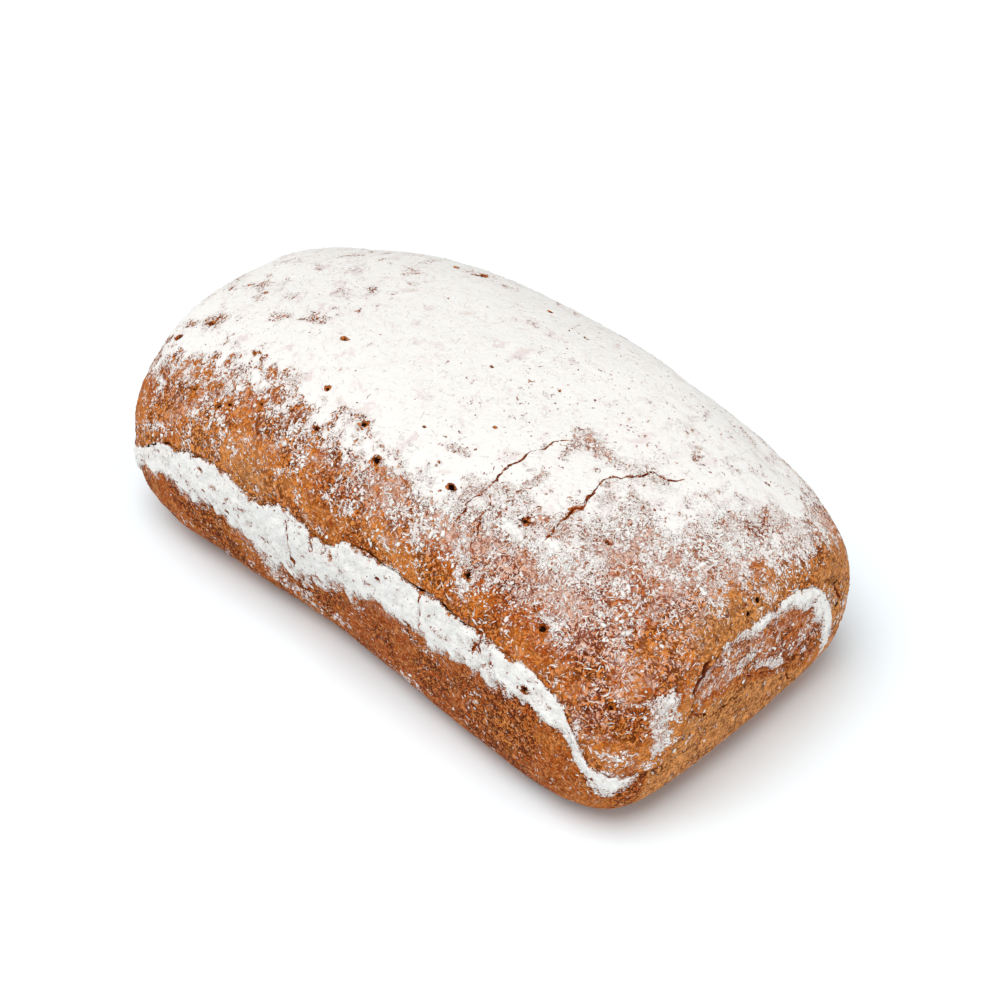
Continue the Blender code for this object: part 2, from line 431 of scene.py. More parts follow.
# Outline of the thick flour on the crown, seen from above
thickFlour = [
    (-121, -12), (-116, -38), (-104, -43), (-90, -43), (-60, -45), (-25, -46), (0, -50), (18, -48),
    (36, -47), (52, -44), (66, -40), (78, -36), (85, -27), (89, -18), (94, -9), (97, 0), (99, 12),
    (100, 24), (103, 36), (103, 47), (96, 59), (60, 63), (0, 62), (-60, 59), (-100, 48), (-116, 26),
]

# Patches that take flour away (-) or add it (+): x, y, half length, half width,
# strength, and how the length is turned from x, in degrees
crownPatches = [
    (53, -3, 5, 4, -0.5), (62, -3, 7, 2.2, -0.45, 10), (51, -7, 3, 2.5, -0.35), (75, 3, 3, 2, -0.6, 30),
    (67, -11, 4, 2, -0.3, 60), (-53, -18, 4, 2, -0.75), (-68, -21.5, 4, 2.4, -0.8, 20),
    (-50, 20, 6, 3, -0.15, 60), (-94, -28, 5, 3, -0.55), (-104, -30, 4, 1.5, -0.5, 10),
    (-94, -5, 10, 1.6, -0.5, -55), (-109, -5, 7, 3, -0.45, -60), (-96, -48.5, 5, 2.5, -0.4),
    (-82, 8.5, 3, 1.6, -0.4), (-49.5, 21, 4, 3, -0.15), (-49, 24, 5, 2, -0.1), (-43, 15, 2, 1.2, -0.4),
    (-33, 38, 6, 2.4, -0.62, 20), (-43, 37, 2, 1.5, -0.4), (-22, 40, 4, 1.6, -0.45, 40),
    (-7, 48, 4, 1, -0.5, -50), (0.5, 48, 4, 1, -0.45, -50), (5, 26, 9, 4, -0.3), (24, 19, 4, 1.4, -0.3),
    (8, 19, 3, 1.5, -0.2), (-49, 3, 3, 8, -0.16), (-45, -8, 3, 3, -0.18), (-70, -12, 4, 2, -0.15, 40),
    (63, 41, 3, 1.3, -0.5, -60), (81, 30, 9, 1.2, -0.3, 80), (76, 19, 2.4, 1.2, -0.45, -40),
    (88, 52, 9, 2, -0.3, -50), (104, 50, 8, 3, -0.4, -60), (84, -12, 6, 3, -0.3), (97, -4, 3, 6, -0.3),
    (93, -27, 5, 5, -0.2), (27, -34, 5, 1.6, -0.6, 10), (10, -45, 4, 1.6, -0.3), (16, -51, 5, 2, -0.4),
    (-52, -51, 5, 2.4, -0.35), (-34, -49, 5, 2.2, -0.35), (-8, -51, 6, 1.6, -0.3), (28, -48, 6, 3, 0.4),
    (30, -55, 12, 3.5, 0.14), (54, -54, 8, 4, 0.2), (80, -33, 8, 4, 0.4), (80, -52, 6, 3, 0.25),
    (-80, -50, 18, 4, 0.2), (2, -49, 4, 2, 0.25), (-71, -58, 3, 2, 0.8), (-98, -50, 3, 3, 0.4),
    (56, -42, 3, 1.4, 0.3), (68, -38, 4, 1.2, 0.3), (84, -53, 4, 1.2, 0.6, -30),
    (90, -20, 8, 6, 0.12, -30), (18, -60, 3, 1.5, 0.35), (-20, -57, 3, 2, 0.3), (100, -9, 6, 5, 0.1),
    (90, -20, 7, 5, 0.1), (109.5, 19, 3, 8, 0.5), (105, 6, 4, 4, 0.15), (104, 34, 5, 9, 0.3),
    (102, 51, 4, 4, 0.2), (-62, -51, 10, 3, 0.16), (-100, -42, 4, 3, 0.25), (-12, -50, 6, 3, 0.2),
    (110, 42, 4, 4, 0.3), (-87, -44, 4, 3, -0.25), (-97, -22, 6, 2, -0.35, -40),
    (-45, 25, 6, 3, -0.15, 60), (-58, -56, 8, 3, -0.15), (-42, -46, 8, 3, -0.25), (68, -40, 14, 7, 0.1),
    (87, -31, 5, 4, 0.1), (104, -2, 6, 6, 0.15), (109, -21, 4, 5, -0.15), (83, -43, 7, 3, -0.2),
    (-101, -52, 4, 3, 0.15), (-104, -12, 5, 4, -0.18), (-65, -37, 5, 3, -0.18), (-66, -50, 7, 3, 0.12),
    (29, -40, 5, 3, -0.2), (39, -41, 5, 4, -0.35), (-44, -38, 6, 4, -0.25), (-15, -42, 8, 3, -0.25),
    (57, -26, 5, 3, -0.25), (64, -7, 5, 3, -0.15), (-91, -32, 5, 3, -0.18), (100, 27, 5, 6, 0.15),
    (109, -54, 3, 4, 0.15), (43, -37, 4, 3, -0.3), (37, -39, 4, 2, -0.2), (86, -42, 5, 4, -0.25),
    (-10, -42, 5, 2, -0.2),
]

# Lower edge of the flour band along the front wall, from left to right
frontBandFoot = [
    (-120, 20), (-106, 26), (-98, 29), (-88, 33.5), (-84, 37), (-79, 36.5), (-75, 35.5), (-72, 34),
    (-69, 34.5), (-64, 37.5), (-58, 37), (-54, 35), (-51, 32), (-47, 33), (-42, 31), (-37, 29.5),
    (-32, 29.5), (-26, 29), (-22, 30), (-20, 28.5), (-15, 28.5), (-12, 31), (-8, 34), (-3, 36.5), (2, 38),
    (6, 40), (11, 40.5), (17, 42), (24, 42.5), (33, 43.8), (38, 44.3), (43, 43.4), (48, 42.4), (52, 44.6),
    (60, 46), (66, 47.4), (71, 48), (76, 46.5), (81, 45), (86, 44.5), (91, 43), (96, 41), (100, 37.5),
    (104, 32), (107, 26.5), (110, 24), (113, 23), (116, 26),
]

# Patches of flour on the front wall and the crown above it, by x and z
frontPatches = [
    (-62, 65, 4, 2, 0.3), (-84, 66, 4, 3, 0.25), (-107, 56, 3, 8, 0.3), (-70, 75, 8, 2.5, 0.2, 10),
    (-52, 82, 5, 2, 0.25), (-22, 83.5, 8, 2, 0.25), (-2, 82, 4, 2, 0.2), (28, 84, 6, 2.5, 0.4),
    (53, 69, 2, 5, 0.2), (22, 68, 3, 2, 0.25), (-6, 56.5, 3, 1.6, 0.4), (-84, 51, 4, 2, 0.35, 20),
    (-36, 54.5, 3, 1.4, 0.3), (1, 67, 3, 3, 0.25), (-72, 65, 5, 2, -0.2), (-54, 77, 5, 2, -0.25),
    (-36, 70, 8, 2, -0.25, -30), (17, 82, 4, 2, -0.3), (62, 73, 3, 2.5, -0.2), (-97, 62, 4, 2, -0.3),
    (-38, 25, 9, 4, 0.42, -15), (-32, 18, 12, 7, 0.45), (-16, 15, 8, 6, 0.3), (-3, 16, 5, 5, 0.45),
    (30, 12, 16, 4, 0.42), (42, 37, 8, 3, 0.3), (11, 32, 4, 4, 0.55), (-8, 29, 5, 3, 0.5),
    (64, 54.5, 1.6, 1.1, -1.1), (56, 59.8, 3, 0.8, -0.6), (69, 45.5, 2.2, 2.6, 1.2),
    (-92, 47.5, 9, 2, 0.35, 38), (10, 80, 8, 3, 0.15), (38, 74, 8, 3, -0.12), (72, 68, 5, 3, -0.12),
    (83.5, 49.5, 2, 1, -1), (0.3, 50, 0.8, 1.6, -1.1), (-8.5, 33.5, 2.4, 1.8, -0.9),
    (-9, 50, 0.9, 3, -0.4), (-61.5, 49, 2, 1, -0.9), (-55, 46, 1.2, 1.2, -0.7), (-46, 36, 1.2, 1.6, -0.6),
    (-40, 39, 1, 1.6, -0.6), (-19.5, 42, 0.8, 14, -0.35), (70.5, 51, 0.8, 2.4, -0.7),
    (40.5, 52, 0.7, 6, -0.3), (22, 53.6, 0.9, 0.9, -0.8), (93, 47, 1.6, 0.8, -0.5), (-24, 28, 5, 3, 0.25),
    (-4, 32, 3, 2, 0.2), (5, 28, 4, 3, 0.15), (100, 43, 3, 3, 0.3), (70, 65, 10, 3, -0.2, -8),
    (-12, 70, 6, 3, -0.15), (26, 79, 6, 3, -0.15), (37, 69, 8, 4, -0.15), (-30, 71, 8, 3, -0.12),
    (-74, 42, 1, 0.8, -0.4), (33, 50, 1, 0.8, -0.5), (12, 47, 0.8, 1.4, -0.5),
    (-30, 40, 1.4, 0.8, -0.5, 30), (-86, 42, 1.2, 0.8, -0.5),
]

# Patches of flour on the right end, by y and z
endPatches = [
    (-39.5, 51, 3.4, 1.9, 0.8, -30), (-45.5, 52.3, 2.6, 1, 0.5, 10), (-42, 47.5, 3.5, 1.2, 0.55, 60),
    (-43, 49.5, 3.4, 2.2, 0.35, 20), (-5, 45.5, 5, 2, 0.22), (17, 69, 5, 3, 0.3), (-53, 53, 1.2, 1, 0.5),
    (-49, 42.3, 1.4, 1, 0.6, 60), (-43, 38, 5, 2.2, 0.32, 75), (-46, 45, 2.5, 1, 0.35, 50),
    (-38, 44, 4, 1.3, 0.3, 80), (-57, 26, 3, 3, 0.5), (-56, 35, 4, 5, 0.32), (-54, 20.5, 1.5, 1.2, 0.5),
    (-34, 57, 3, 1, 0.25, 20), (2.4, 37.6, 3.5, 1.7, 0.5, -35), (7.2, 34.6, 7, 1.8, 0.35, -38),
    (-41, 45, 8, 5, 0.22, 70), (8, 34.2, 4, 1.8, 0.35, -40), (12.8, 30.2, 3, 1.8, 0.3, -45),
    (6, 41, 4, 0.8, 0.1, -25), (23, 34, 4, 1.8, 0.4, -30), (27, 37, 3, 2, 0.35),
    (18, 33.5, 3, 1, 0.3, -30), (-2, 47.5, 3, 2.4, 0.3, 80), (-9, 44.5, 5, 2, 0.3, 10),
    (-16, 52, 6, 2.5, 0.22, 10), (18, 47, 6, 4, -0.3, -30), (30, 64, 11, 3.5, 0.28), (17, 65, 6, 3, 0.18),
    (-43, 57.5, 4, 3, -0.45), (-45, 51, 3, 2, 0.1), (39, 59, 4, 3, 0.25), (-46, 44, 3, 3, 0.15),
    (-31, 58, 3, 3, 0.12), (43, 49, 8, 3, -0.5, -50), (50, 52, 6, 7, -0.6), (30, 66, 6, 2.2, 0.15, -25),
    (15, 66, 8, 4, -0.12), (-40, 58, 10, 6, -0.12), (-30, 66, 8, 4, -0.15),
]

# Patches of thin dust on the front, by x and z
dustPatches = [
    (-86, 60, 22, 8, 0.26), (-42, 58, 18, 5, 0.2), (-50, 75, 8, 5, 0.12), (63, 67, 13, 4.5, -0.4, -8),
    (-24, 70, 13, 4, -0.16), (-4, 77, 7, 3, 0.25), (85, 72, 6, 4, -0.22), (49, 71, 6, 3, -0.2),
    (108, 52, 4, 5, 0.38), (99, 66, 6, 4, 0.34), (94, 59, 4, 3, -0.25), (103, 71, 5, 4, 0.35),
    (100, 46, 4, 5, 0.2), (76, 58.5, 4, 2, 0.35), (52, 61, 4, 2, 0.35), (67, 62, 4, 1.5, 0.25),
    (-10, 56, 5, 3, 0.35), (68, 82, 10, 4, 0.15), (70, 41, 6, 3, 0.5),
]

# Worn places among the crown's flour: strength, where each sets in along x and
# y and over how far, and the size, seed and gain of its pattern
wornFlour = [
    (0.26, (-15, -40), (-45, 30), (6.5, 18, 1.6)),
    (0.26, (40, 30), (4, 16), (6, 28, 1.8)),
    (0.40, (36, 12), (12, -30), (5, 26, 1.8)),
    (0.22, (34, -30), (-26, -14), (5.5, 27, 2)),
]


# Sum of soft ovals at the places (first, second): each is its strength times
# exp(-(along / half length)^2 - (across / half width)^2)
def softPatches(first, second, patches):
    total = np.zeros(len(first))
    for row in patches:
        a, b, long, short, strength, turn = (*row, 0)[:6]
        da, db = first - a, second - b
        c, s = cos(radians(turn)), sin(radians(turn))
        total += strength * np.exp(-((da * c + db * s) / long) ** 2 - ((db * c - da * s) / short) ** 2)
    return total


# 1 on the right end's own face, 0 before the corner that leads to it
def onRightEnd(x):
    return rise(x, 112, 5)


# What the patches on the right end add to the cover, growing over its corner
def endFlour(points):
    x, y, z = points.T
    return softPatches(y, z, endPatches) * rise(x, 98, 8)


# The same on the front
def frontFlour(points):
    x, y, z = points.T
    return softPatches(x, z, frontPatches) * (y < -30)


# How far the flour's ragged edge stands above the ledge; the fold has none
def flourEdge(points):
    ragged = 0.1 + 1.1 * lumps(points, 4.6, 61) + 0.9 * lumps(points, 1.9, 62)
    return ragged * (1 - fold(points))


# Depth of the arc of flour under the ledge, by y: on the right end, on the left
rightArc = [
    (-60, 3.5), (-52, 3), (-47, -3), (-28, -3), (-25, 1), (-18, 1.1), (-8, 1.9), (2, 2.2), (6, 3.6), (10, 5),
    (16, 8), (21, 8), (27, 9), (30, 9), (33, 6.5), (34.4, 7), (35.4, 21), (37.4, 19), (38.2, 9), (39, -1),
    (46, -3),
]
leftArc = [(-58, 6), (-40, 1.5), (-30, 4.5), (10, 6), (30, 3), (50, 4)]


# How far the flour reaches down from the ledge: a band along the sides whose
# foot is known at the front, and an arc of changing width on the ends
def bandDepth(points, ledgeZ):
    x, y, z = points.T
    front = ledgeZ - lineAt(x, frontBandFoot) + 1.8
    side = np.where(y < 0, front, (15 + 4 * lumps(points, 26, 31)) * rise(x, 112, -8))
    overLeft = lineAt(y, leftArc) + 1.5 * lumps(points, 12, 32)
    return mix(side, np.where(x > 0, lineAt(y, rightArc), overLeft), rise(np.abs(x), 111, 5))


# Share of the crust that flour hides on the crown, about 0 to 1.2: high inside
# the outline, falling over a narrow edge on the left and a wide one on the
# right, then worn, patched and joined to the band
def crownFlour(points, ledgeZ, edgeZ):
    x, y, z = points.T
    inside = insideOutline(points[:, :2], thickFlour)
    wander = 5.0 * lumps(points, 11, 3) + 4.0 * lumps(points, 4.2, 4) + 4.0 * lumps(points, 2.4, 16)
    width = mix(15, 34, rise(x, 25, 50) * rise(y, 50, -45))
    cover = 0.12 + 1.08 * smooth(0.5 + (inside + wander) / width)
    cover -= 0.3 * rise(x, 45, 25) * smooth(0.4 + layered(points, 11, 19, 2)) * rise(y, 22, -25)  # worn right
    dusting = 0.12 + 0.22 * rise(z, 58, 16) + 0.12 * rise(x, 35, 40) * rise(z, 55, 12)
    cover = np.maximum(cover, dusting + 0.12 * lumps(points, 8, 11) + 0.16 * lumps(points, 3.2, 17))
    cover += softPatches(x, y, crownPatches) * rise(z, 50, 10)
    cover += frontFlour(points)
    for strength, alongX, alongY, (size, seed, gain) in wornFlour:
        pattern = smooth(layered(points, size, seed, 3) * gain)
        cover -= strength * rise(x, *alongX) * rise(y, *alongY) * pattern
    cover += 0.10 * lumps(points, 13, 9) * smooth(2 - cover * 1.6) + endFlour(points)
    bandTop = np.minimum(0.5 - (z - edgeZ) / 1.3, 1.1) * smooth(bandDepth(points, ledgeZ) / 1.5)
    return np.maximum(cover, bandTop)


# Share that flour hides on the tin's wall: the band, whose foot runs out in
# fingers, and stray dust
def wallFlour(points, ledgeZ, edgeZ):
    x, y, z = points.T
    depth = bandDepth(points, ledgeZ)
    fingers = 3.4 * lumps(points * [1, 1, 0.6], 6.5, 33) + 3.0 * lumps(points * [1, 1, 0.6], 2.4, 34)
    band = 0.5 + (z - ledgeZ + depth + fingers * smooth(depth / 5)) / 4.5
    band = np.minimum(band, 1.18 - 0.2 * smooth(layered(points, 4.5, 37, 3, 0.6) * 2.2))
    band = np.minimum(band, 0.5 + (edgeZ - z) / 1.3)
    dust = -0.06 + 0.14 * lumps(points, 9, 35) + 0.12 * lumps(points, 3.4, 36)
    dust += 0.12 * onRightEnd(x) * rise(z, 20, 10)
    return np.maximum(band, dust) + endFlour(points) + frontFlour(points)


# Height up to which the right end was bare against the tin, by y
tanLine = [
    (-48, 24), (-40, 33), (-33, 40), (-12, 39), (-4, 36), (5, 32), (14, 27), (22, 22), (32, 17), (42, 12),
]


# The same at each place, from the line's straight pieces
def tanTop(y):
    return lineAt(y, tanLine)


# Thin dust that only veils the crust, 0 to 1: strong over the right part of the
# crown, in the arc and beside thick flour, weak near the ledge and low down
def thinDust(points, ledgeZ, cover):
    x, y, z = points.T
    dust = rise(z, np.maximum(ledgeZ, 44) + 3, 15) * mix(0.30, 0.76, rise(x, -10, 50)) + 0.06
    corner = rise(x, 84, 14) * rise(y, -18, -12)  # little dust over the front right corner
    dust = mix(dust, 0.2, 0.9 * corner) * mix(1, 0.3, onRightEnd(x) * rise(y, 14, 14))
    inArch = mix(0.48, 0.28, rise(y, 6, 12)) * (1 - 0.7 * rise(y, 20, 8) * rise(z, 38, -8))
    onEnd = 0.02 + inArch * rise(z, tanTop(y), 5)
    beside = 0.42 * smooth((z - ledgeZ + bandDepth(points, ledgeZ) + 7) / 7) * rise(x, 56, -12)
    lower = mix(beside - mix(0.02, 0.14, rise(x, -10, 50)), onEnd, onRightEnd(x))
    dust = np.where(z > ledgeZ, dust, lower)
    local = softPatches(x, z, dustPatches) * rise(y, -18, -10)
    dust += 0.26 * lumps(points, 10, 51) * smooth(dust * 4) + local
    kept = mix(0.3 + 0.15 * rise(cover, 0.45, 0.3), 1, np.maximum(rise(x, -15, 45), z < ledgeZ))
    near = -0.1 + 1.05 * rise(cover, 0.14, 0.5) * kept
    return np.clip(np.maximum(dust, near), -0.1, 1.1)


# Crust tone: above 0 redder and darker, below 0 paler and more tan
def crustTone(points, ledgeZ):
    x, y, z = points.T
    below = rise(z, ledgeZ, -3)
    tone = mix(0.3, 0.6, rise(x, -10, 40)) * below * rise(x, -118, 20)  # the walls, redder to the right
    tone = tone + 0.25 * below * np.exp(-((x + 85) / 22) ** 2)  # and near the left end
    tan = onRightEnd(x) * rise(y, -50, 6) * rise(z, tanTop(y), -4)
    tone = mix(tone, -1.0, tan * below)  # the bare zone
    tone -= 0.35 * rise(x, -60, 30) * np.exp(-((z - ledgeZ - 6) / 6) ** 2) * (1 - below)  # over the ledge
    # paler on the rest of the right end: partly its own paler crust, partly painted light for light the lamps
    # give it too little of
    tone -= 0.3 * rise(x, 102, 10) * (1 - tan * below)  # the rest of the right end
    tone -= 0.5 * rise(x, 98, 8) * rise(z, 24, -10)  # its foot
    tone -= 0.4 * rise(x, 108, 6) * rise(y, 30, 12)  # its back corner
    tone += 0.5 * rise(x, 20, 50) * rise(z, 62, 8) * rise(x, 114, -8)  # the crown's right half
    tone += 0.15 * rise(x, 78, 14) * rise(y, -20, -16) * (1 - below)  # over the front right corner
    tone -= 0.3 * rise(x, -20, -20) * rise(y, -26, -12) * (1 - below)  # the crown's front left
    return tone + 0.25 * lumps(points, 15, 41)


# Nearness to the fold at the left of the right end, 0 to 1
def fold(points):
    x, y, z = points.T
    return rise(x, 98, 8) * rise(y, -14, -10) * rise(y, -52, 8)


# How dark the ledge's painted shadow line is along the front, by x
frontShade = [
    (-110, 0), (-92, 0.1), (-78, 0.45), (-60, 0.5), (-50, 0.2), (-30, 0.25), (-20, 0.1), (2, 0.3),
    (10, 0.1), (40, 0.25), (50, 0.45), (85, 0.45), (95, 0.25), (104, 0),
]


# The same all round: full at the fold, even along the back, faint on the ends
def ledgeShade(points):
    x, y, z = points.T
    onEnd = rise(np.abs(x), 104, 6)
    # the strength of the painted shadow line at the ledge and in the fold
    shade = mix(np.where(y < 0, lineAt(x, frontShade), 0.4) * (1 + 1.1 * lumps(points, 4, 42)), 0.05, onEnd)
    return np.maximum(shade, 1.3 * fold(points))


# How far the skin stands out at the ledge: a lip above that dies away upwards
# and a recess below that dies away downwards, each as exp(-distance / reach)
def ledgeStep(points, ledgeZ):
    g = ledge
    over = points[:, 2] - ledgeZ
    raised = smooth((ledgeZ + loafShape["baseCut"] - g["corner"]) / (g["side"] - g["corner"]))
    share = mix(g["cornerShare"], 1, raised) * smooth(points[:, 2] / g["plainFoot"])
    folded = fold(points)
    share = share * (0.15 + 0.85 * np.clip(ledgeShade(points), 0, 1))
    lip = (share * g["lip"] + folded * g["foldLip"]) * np.exp(-np.maximum(over, 0) / g["lipReach"])
    reach = mix(g["recessReach"], g["foldReach"], folded)
    recess = (share * g["recess"] + folded * g["foldRecess"]) * np.exp(np.minimum(over, 0) / reach)
    return lip, -recess


# Unevenness common to both shells, so that they still meet: broad swells and a
# belly low on the left end
def swells(points):
    x, y, z = points.T
    leftBelly = rise(x, -90, -20) * np.exp(-((z - 42) / 24) ** 2)
    return leftBelly + 0.55 * lumps(points, 42, 1) + 0.35 * layered(points, 15, 2, 2)


# Swells, then bumps of two sizes that flour smooths over, and the flour's own
# thickness where it covers
def crownRelief(points, cover):
    out = swells(points)
    out += mix(0.22, 0.08, smooth(cover)) * layered(points, 5.2, 5, 3)
    out += mix(0.14, 0.03, smooth(cover)) * layered(points, 1.7, 6, 2, 0.7)
    return out + 0.14 * smooth(cover + 0.35 * lumps(points, 2.6, 8))


# Swells, bumps of two sizes, and the flour caked on the band
def wallRelief(points, cover):
    out = swells(points)
    out += 0.16 * layered(points, 4.4, 21, 3) + 0.08 * layered(points, 1.5, 22, 2, 0.7)
    caked = smooth(cover * 1.4 - 0.4) * rise(points[:, 2], 8, 8)
    return out + caked * (0.7 + 0.55 * layered(points, 3.2, 23, 3, 0.65) + 0.3 * lumps(points, 1.4, 24))


# How deep the splits go at each point, and the distance to the nearest one in
# half widths: depth falls evenly to 0 at the mouth's edge, "mouth" half widths
# out; the lines are jagged and pinch out at the ends
def openSplits(points, mouth=2.6):
    nearest = np.full(len(points), farAway)
    deep = np.zeros(len(points))
    jag = 0.9 * lumps(points, 3.6, 12) + 0.6 * lumps(points, 1.5, 13)
    wide = 1 + 0.5 * lumps(points, 4.0, 14)
    for wall, tears in splits.items():
        plain, _, here = wallAxes(wall, points)
        for halfWidth, depth, run in tears:
            away, share = fromRun(points[:, plain], run)
            ends = smooth(np.minimum(share, 1 - share) * 8 + 0.1)
            width = halfWidth * (0.4 + 0.6 * ends) * wide
            beyond = np.where(here & (share > 0) & (share < 1), 0, farAway)
            away = np.abs(away + jag) / width + beyond
            deep = np.maximum(deep, depth * ends * np.clip(1 - away / mouth, 0, 1))
            nearest = np.minimum(nearest, away)
    return deep, nearest


# How deep the pores go at each point, and how far it is from the nearest in
# pore radii: depth falls smoothly to 0 at "mouth" radii; the outline is ragged
def openPores(points, flattened=1.3, mouth=1.35):
    ragged = 1 + 0.45 * lumps(points, 1.4, 15)
    nearest = np.full(len(points), farAway)
    deep = np.zeros(len(points))
    for wall, places in pores.items():
        (first, second), _, here = wallAxes(wall, points)
        beyond = np.where(here, 0, farAway)
        for a, b, size, depth in places:
            off = points[:, first] - a, (points[:, second] - b) * flattened
            away = np.hypot(*off) / (size * ragged) + beyond
            deep = np.maximum(deep, depth * smooth(mouth - away))
            nearest = np.minimum(nearest, away)
    return deep, nearest


tuckSteps = [(0.9, -0.25), (4, 0.8)]  # inward, and up on the crown or down on the wall


# Rings that lead from the rim into the loaf: rim - normals inward + (0, 0, up)
def tuckedRings(rim, normals, side):
    return np.array([rim - normals * inward + [0, 0, up * side] for inward, up in tuckSteps])


# A shell's points moved out along their normals by its relief, which fades out
# over the lowest 6 mm, with its finish fields: flour cover, thin dust, height
# above the ledge, crust tone, how dark the ledge's painted shadow line is, and
# distances to splits and pores
def raiseShell(name, grid, side):
    cap, rings = shellDirections(grid, side)
    count = cap.size // 3
    around = rings.shape[1]
    points = mould(np.vstack([cap.reshape(-1, 3), rings.reshape(-1, 3)]))
    plain = points[:count].reshape(cap.shape), points[count:].reshape(rings.shape)
    draft = closedShell(name, *plain, (0, 0, heart), side < 0)
    normals = normalsOf(draft)[:-1]
    bpy.data.meshes.remove(draft)
    ledgeZ = ledgeHeight(points[:, 0], points[:, 1])
    ledgeZ[count:] = np.tile(points[-around:, 2], rings.shape[0])
    for wall, tears in splits.items():
        if (wall == "crown") == (side > 0):
            for _, _, run in tears:
                points = gatherPoints(points, normals, wall, run)
    edgeZ = ledgeZ + flourEdge(points)
    lip, recess = ledgeStep(points, ledgeZ)
    if side > 0:
        cover = crownFlour(points, ledgeZ, edgeZ)
        out = crownRelief(points, cover) + lip
    else:
        cover = wallFlour(points, ledgeZ, edgeZ)
        out = wallRelief(points, cover) + recess
    torn, split = openSplits(points)
    deep, pore = openPores(points)
    out = (out - np.maximum(torn, deep)) * rise(points[:, 2], 0, 6)
    tone = crustTone(points, ledgeZ)
    above = points[:, 2] - edgeZ
    points = points + normals * out[:, None]
    points[:, 2] = np.maximum(points[:, 2], 0)
    tuck = tuckedRings(points[-around:], normals[-around:], side)
    ringPoints = np.concatenate([points[count:].reshape(rings.shape), tuck])
    last = (0, 0, heart + 8 * side)
    mesh = closedShell(name, points[:count].reshape(cap.shape), ringPoints, last, side < 0, len(tuck))
    # each field with the value that it has on the hidden rings
    fields = dict(
        flour=(cover, 0), dust=(thinDust(points, ledgeZ, cover), 0), above=(np.clip(above, -40, 40), 0),
        tone=(tone, 0.5), shade=(ledgeShade(points), 1), split=(split, farAway), pore=(pore, farAway))
    for label, (shown, rest) in fields.items():
        everywhere = np.r_[shown, np.full(len(tuck) * around + 1, rest)].astype(np.float32)
        mesh.attributes.new(label, "FLOAT", "POINT").data.foreach_set("value", everywhere)
    print(name, len(mesh.vertices), "points", sum(len(p.vertices) - 2 for p in mesh.polygons), "triangles")
    return addObject(name, mesh)


print("ledge, flour, splits and pores are laid out")
crown = raiseShell("crown", crownGrid, 1)
tinWall = raiseShell("tinWall", wallGrid, -1)


# The nodes of one material, made with short calls; what a call takes may be a
# number, a colour or another node's socket
class Nodes:
    def __init__(self, name):
        self.material = bpy.data.materials.new(name)
        self.material.use_nodes = True
        self.tree = self.material.node_tree
        self.shader = self.tree.nodes["Principled BSDF"]

    # a value set on an input, or a socket linked to it
    def put(self, slot, value):
        if isinstance(value, bpy.types.NodeSocket):
            self.tree.links.new(value, slot)
        else:
            slot.default_value = value

    # a node with its settings and inputs
    def add(self, kind, settings, inputs):
        made = self.tree.nodes.new("ShaderNode" + kind)
        for key, value in settings.items():
            setattr(made, key, value)
        for key, value in inputs.items():
            self.put(made.inputs[key], value)
        return made

    # the place on the object, in metres
    def place(self):
        return self.add("TexCoord", {}, {}).outputs["Object"]

    # one of the mesh's own fields
    def field(self, name):
        return self.add("Attribute", {"attribute_name": name}, {}).outputs["Fac"]

    # one sum of a, b and c, named as Blender names it
    def calc(self, operation, a, b=0.0, c=0.0):
        return self.add("Math", {"operation": operation}, {0: a, 1: b, 2: c}).outputs[0]

    # a b
    def times(self, a, b):
        return self.calc("MULTIPLY", a, b)

    # the larger of a and b
    def most(self, a, b):
        return self.calc("MAXIMUM", a, b)

    # a b + c
    def scaled(self, a, b, c=0.0):
        return self.calc("MULTIPLY_ADD", a, b, c)

    # value taken from the range low..high to 0..1 with level ends
    def between(self, value, low, high):
        inputs = {"Value": value, "From Min": low, "From Max": high, "To Min": 0.0, "To Max": 1.0}
        return self.add("MapRange", {"interpolation_type": "SMOOTHSTEP"}, inputs).outputs[0]

    # a + (b - a) share, for colours
    def blend(self, share, a, b):
        settings = {"data_type": "RGBA", "clamp_factor": True}
        return self.add("Mix", settings, {0: share, 6: a, 7: b}).outputs[2]

    # cloudy pattern of about 0..1 whose features are "size" millimetres across
    def clouds(self, coords, size, detail=2.0, rough=0.5, bend=0.0):
        inputs = {"Vector": coords, "Scale": 1 / (size * mm), "Detail": detail}
        inputs.update({"Roughness": rough, "Distortion": bend})
        return self.add("TexNoise", {}, inputs).outputs["Fac"]

    # short strokes that lie every way: six stretched cloudy patterns along the
    # axes of an icosahedron, the highest one counting, where it is above "level"
    def strokes(self, coords, long, wide, level, seed, edge=0.035):
        half = [(0, 1, golden), (1, golden, 0), (golden, 0, 1)]
        axes = [half[0], (0, -1, golden), half[1], (-1, golden, 0), half[2], (golden, 0, -1)]
        highest = None
        for number, axis in enumerate(axes):
            turn = Vector(axis).to_track_quat("X", "Z").to_euler()
            away = Vector((seed * 0.37 + number * 0.11, seed * 0.13, number * 0.29))
            size = (long * mm, wide * mm, wide * mm)
            inputs = {"Vector": coords, "Location": away, "Rotation": turn, "Scale": size}
            laid = self.add("Mapping", {"vector_type": "TEXTURE"}, inputs).outputs[0]
            cloud = self.add("TexNoise", {}, {"Vector": laid, "Scale": 1.0, "Detail": 0.0}).outputs["Fac"]
            highest = cloud if highest is None else self.most(highest, cloud)
        return self.between(highest, level - edge, level + edge)

    # colour, roughness and relief of the surface, which has hardly any gloss
    def finish(self, colour, roughness, height, strength, distance):
        self.put(self.shader.inputs["Base Color"], colour)
        self.put(self.shader.inputs["Roughness"], roughness)
        self.put(self.shader.inputs["Specular IOR Level"], 0.03)
        bump = self.add("Bump", {}, {"Strength": strength, "Distance": distance * mm, "Height": height})
        self.put(self.shader.inputs["Normal"], bump.outputs["Normal"])
        return self.material


